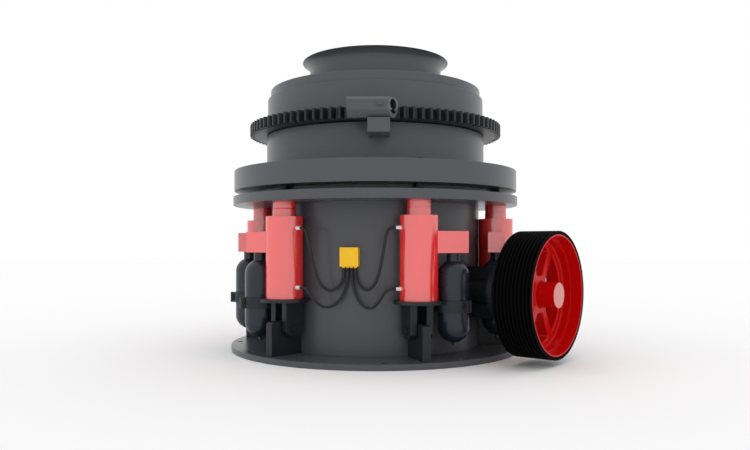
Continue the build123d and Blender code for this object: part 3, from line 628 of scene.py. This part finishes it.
def bolt_heads(name, body, slot, places, radius, length):
    """Bolts at places, each a spot on a face and the way that the face looks, made one plain mesh."""
    tree = bpy.data.node_groups.get("hex_bolts") or bolt_tree()
    points = bpy.data.meshes.new(name)
    points.from_pydata([spot for spot, facing in places], [], [])
    directions = points.attributes.new("facing", "FLOAT_VECTOR", "POINT")
    for item, (spot, facing) in zip(directions.data, places):
        item.vector = facing
    raw = placed(name + "_raw", points)
    bolts = raw.modifiers.new("bolts", "NODES")
    bolts.node_group = tree
    values = {"Head radius": radius, "Head length": length, "Material": finish_of(slot)}
    for item in tree.interface.items_tree:
        if item.name in values:
            bolts[item.identifier] = values[item.name]
    made = applied(raw)
    if not made.polygons:
        raise RuntimeError(f"{name} has no faces")
    settle(made, name, body, slot)


def fitting_point(side, height, beyond):
    """A point on a white fitting's axis, so far beyond its tip: outward, sideways and up."""
    half = CYLINDER_STEP / 2
    reach = CYLINDER_RADIUS + FITTING_LENGTH + beyond
    return (
        CYLINDER_CIRCLE * math.cos(half) + reach * math.sin(half),
        side * (CYLINDER_CIRCLE * math.sin(half) - reach * math.cos(half)),
        height)


def hose_curve(name, points, diameter):
    """A round hose on a smooth curve along the points."""
    curve = bpy.data.curves.new(name, "CURVE")
    curve.dimensions = "3D"
    curve.bevel_depth = diameter / 2
    curve.bevel_resolution = HOSE_ROUNDNESS
    curve.resolution_u = HOSE_STEPS
    curve.use_fill_caps = True
    line = curve.splines.new("NURBS")
    line.points.add(len(points) - 1)
    for control, place in zip(line.points, points):
        control.co = (*place, 1)
    line.order_u = HOSE_ORDER
    line.use_endpoint_u = True
    return curve


def pale_floor():
    """A wide matt floor under the machine."""
    ground = bmesh.new()
    bmesh.ops.create_circle(ground, cap_ends=True, segments=FLOOR_SIDES, radius=FLOOR_RADIUS)
    mesh = bpy.data.meshes.new("floor")
    ground.to_mesh(mesh)
    ground.free()
    floor = placed("floor", mesh)
    tone = (FLOOR_TONE, FLOOR_TONE, FLOOR_TONE, 1)
    pale = Finish("pale_floor", Base_Color=tone, Roughness=0.9, Specular_IOR_Level=0.0)
    mesh.materials.append(pale.material)


def white_studio(scene):
    """Even white light from all round, which is the background too."""
    world = bpy.data.worlds.new("white_studio")
    scene.world = world
    world.use_nodes = True
    sky = world.node_tree.nodes["Background"]
    sky.inputs["Color"].default_value = (1, 1, 1, 1)
    sky.inputs["Strength"].default_value = 1.0


def photo_camera(scene, sizes):
    """A level camera that looks at the machine's axis."""
    eye = bpy.data.cameras.new("camera")
    eye.lens = sizes.lens
    eye.sensor_width = SENSOR_WIDTH
    eye.shift_x = SHIFT_X
    eye.shift_y = SHIFT_Y
    camera = placed("camera", eye)
    camera.location = outward(sizes.camera_turn) * sizes.distance + Vector((0, 0, sizes.eye_height))
    camera.rotation_euler = (math.pi / 2, 0, sizes.camera_turn + math.pi / 2)
    scene.camera = camera


class CRUSHER_OT_frame(bpy.types.Operator):
    """Finish the main frame, its hub and the countershaft housing"""

    bl_idname = "crusher.frame"
    bl_label = "Frame"

    def execute(self, context):
        sizes = context.scene.crusher_sizes
        dress("frame_base", "grey_paint", "base_flange", sizes.edge)
        dress("frame_shell", "grey_paint", "frame_drum", sizes.edge)
        dress("frame_flange", "grey_paint", "upper_flange", sizes.edge)
        dress("clevis_lugs", "dark_steel", "lugs", sizes.edge)
        dress("countershaft_housing", "dark_steel", "countershaft_case", sizes.edge)
        dress("frame_hub", "grey_paint", "hub_casting", sizes.edge)
        return {"FINISHED"}


class CRUSHER_OT_ring(bpy.types.Operator):
    """Finish the adjustment ring, its release rods and the adjuster"""

    bl_idname = "crusher.ring"
    bl_label = "Adjustment ring"

    def execute(self, context):
        sizes = context.scene.crusher_sizes
        dress("adjustment_ring", "grey_paint", "ring_casting", sizes.edge)
        dress("adjuster_bracket", "grey_paint", "adjuster_arm", sizes.edge)
        dress("adjuster_housing", "grey_paint", "adjuster_case", sizes.fine_edge, coat="adjuster_paint")
        dress("release_rods", "dark_steel", "rods_and_nuts", sizes.fine_edge)
        facing = outward(ADJUSTER_TURN)
        spot = facing * ADJUSTER_FRONT + sideways(ADJUSTER_TURN) * ADJUSTER_BOLT_SIDE
        spot.z = ADJUSTER_BOLT_HEIGHT
        bolt_heads("adjuster_bolt", RING, "grey_paint", [(spot, facing)],
                   sizes.adjuster_bolt, ADJUSTER_BOLT_LENGTH)
        return {"FINISHED"}


class CRUSHER_OT_bowl(bpy.types.Operator):
    """Finish the gear, cap, hopper, bowl and liner"""

    bl_idname = "crusher.bowl"
    bl_label = "Bowl and hopper"

    def execute(self, context):
        sizes = context.scene.crusher_sizes
        dress("gear_ring", "dark_steel", "toothed_ring", sizes.fine_edge)
        dress("adjustment_cap", "grey_paint", "stepped_cap", sizes.edge)
        dress("feed_hopper", "grey_paint", "flared_hopper", sizes.fine_edge)
        dress("bowl", "grey_paint", "bowl_casting", sizes.edge)
        finish_node("bowl_liner", "manganese_steel")
        return {"FINISHED"}


class CRUSHER_OT_head(bpy.types.Operator):
    """Finish what shows through the hopper and from below"""

    bl_idname = "crusher.head"
    bl_label = "Crushing head"

    def execute(self, context):
        finish_node("mantle", "manganese_steel")
        finish_node("feed_plate", "manganese_steel")
        finish_node("crusher_head", "cast_steel")
        finish_node("eccentric", "bright_steel")
        finish_node("main_shaft", "bright_steel")
        return {"FINISHED"}


class CRUSHER_OT_cylinders(bpy.types.Operator):
    """Finish the release cylinders, gas bottles, feet and pins"""

    bl_idname = "crusher.cylinders"
    bl_label = "Cylinders and bottles"

    def execute(self, context):
        sizes = context.scene.crusher_sizes
        for number in STATIONS:
            dress(f"release_cylinder_{number}", "red_paint", f"cylinder_{number}", sizes.fine_edge)
            dress(f"accumulator_{number}", "bottle_paint", f"gas_bottle_{number}", sizes.fine_edge)
            dress(f"cylinder_foot_{number}", "dark_steel", f"foot_{number}", sizes.fine_edge)
        dress("clevis_pins", "dark_steel", "pins", sizes.fine_edge)
        return {"FINISHED"}


class CRUSHER_OT_clamp_bolts(bpy.types.Operator):
    """Put a hex head on the outer face of both tabs of every bottle clamp"""

    bl_idname = "crusher.clamp_bolts"
    bl_label = "Clamp bolts"

    def execute(self, context):
        places = []
        for number in STATIONS:
            turn = CYLINDER_TURN + CYLINDER_STEP * (number - 1)
            # Neighbouring cylinders carry their bottles on opposite sides
            side = -1 if number % 2 else 1
            centre = outward(turn) * (CYLINDER_CIRCLE + BOTTLE_OUT) + sideways(turn) * side * BOTTLE_SIDE
            tab_turn = turn + side * (math.pi / 2 - CLAMP_TURN)
            spot = centre + outward(tab_turn) * (TAB_REACH - TAB_BOLT_INSET)
            spot.z = (CLAMP_LOW + CLAMP_HIGH) / 2
            for facing in (sideways(tab_turn), -sideways(tab_turn)):
                places.append((spot + facing * TAB_PAIR_HALF, facing))
        radius = context.scene.crusher_sizes.clamp_bolt
        bolt_heads("clamp_bolts", MAIN, "dark_steel", places, radius, TAB_BOLT_LENGTH)
        return {"FINISHED"}


class CRUSHER_OT_pulley(bpy.types.Operator):
    """Finish the belt pulley and the countershaft"""

    bl_idname = "crusher.pulley"
    bl_label = "Pulley"

    def execute(self, context):
        sizes = context.scene.crusher_sizes
        dress("pulley_rim", "black_iron", "grooved_band", sizes.band_edge)
        dress("pulley_wheel", "red_paint", "spoked_wheel", sizes.wheel_edge, coat="wheel_paint")
        finish_node("countershaft", "bright_steel")
        return {"FINISHED"}


class CRUSHER_OT_box(bpy.types.Operator):
    """Finish the junction box with its glands, and the white fittings"""

    bl_idname = "crusher.box"
    bl_label = "Junction box"

    def execute(self, context):
        sizes = context.scene.crusher_sizes
        dress("junction_box", "yellow_box", "terminal_box", sizes.edge)
        dress("hose_fittings", "white_fitting", "white_fittings", sizes.fine_edge)
        return {"FINISHED"}


class CRUSHER_OT_hoses(bpy.types.Operator):
    """Hang the four hoses between the junction box and the cylinders"""

    bl_idname = "crusher.hoses"
    bl_label = "Hoses"

    def execute(self, context):
        diameter = context.scene.crusher_sizes.hose
        for label, (length, route) in HOSE_ROUTES.items():
            side = -1 if label.endswith("left") else 1
            height = FITTING_HEIGHTS["upper" if "upper" in label else "lower"]
            ends = [fitting_point(side, height, beyond) for beyond in (HOSE_END_RUN, 0)]
            points = [outward(BOX_TURN) * out + sideways(BOX_TURN) * along + Vector((0, 0, up))
                      for out, along, up in route + ends]
            hose = placed(label + "_line", hose_curve(label + "_line", points, diameter))
            hose.data.materials.append(finish_of("hose_rubber"))
            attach(hose, MAIN)
            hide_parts(label)
        return {"FINISHED"}


class CRUSHER_OT_stage(bpy.types.Operator):
    """Set up the pale floor, the soft light and the camera"""

    bl_idname = "crusher.stage"
    bl_label = "Stage"

    def execute(self, context):
        scene = context.scene
        scene.view_settings.view_transform = "Standard"
        pale_floor()
        white_studio(scene)
        photo_camera(scene, scene.crusher_sizes)
        return {"FINISHED"}


class CRUSHER_PT_panel(bpy.types.Panel):
    """Lists the finishes and sizes, and the steps that dress the machine"""

    bl_idname = "CRUSHER_PT_panel"
    bl_label = "Cone crusher"
    bl_space_type = "VIEW_3D"
    bl_region_type = "UI"
    bl_category = "Crusher"

    def draw(self, context):
        for group in (context.scene.crusher_finishes, context.scene.crusher_sizes):
            box = self.layout.box()
            for name in group.bl_rna.properties.keys():
                if name not in ("rna_type", "name"):
                    box.prop(group, name)
        for step in STEPS:
            self.layout.operator(step.bl_idname)


STEPS = (
    CRUSHER_OT_hoses, CRUSHER_OT_frame, CRUSHER_OT_ring, CRUSHER_OT_bowl, CRUSHER_OT_head,
    CRUSHER_OT_cylinders, CRUSHER_OT_clamp_bolts, CRUSHER_OT_pulley, CRUSHER_OT_box, CRUSHER_OT_stage,
)
CLASSES = (CrusherFinishes, CrusherSizes, *STEPS, CRUSHER_PT_panel)


def register():
    for kind in CLASSES:
        bpy.utils.register_class(kind)
    bpy.types.Scene.crusher_finishes = bpy.props.PointerProperty(type=CrusherFinishes)
    bpy.types.Scene.crusher_sizes = bpy.props.PointerProperty(type=CrusherSizes)


def unregister():
    del bpy.types.Scene.crusher_finishes
    del bpy.types.Scene.crusher_sizes
    for kind in reversed(CLASSES):
        bpy.utils.unregister_class(kind)


def main():
    register()
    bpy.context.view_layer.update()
    for step in STEPS:
        group, action = step.bl_idname.split(".")
        getattr(getattr(bpy.ops, group), action)()


if __name__ == "__main__":
    main()
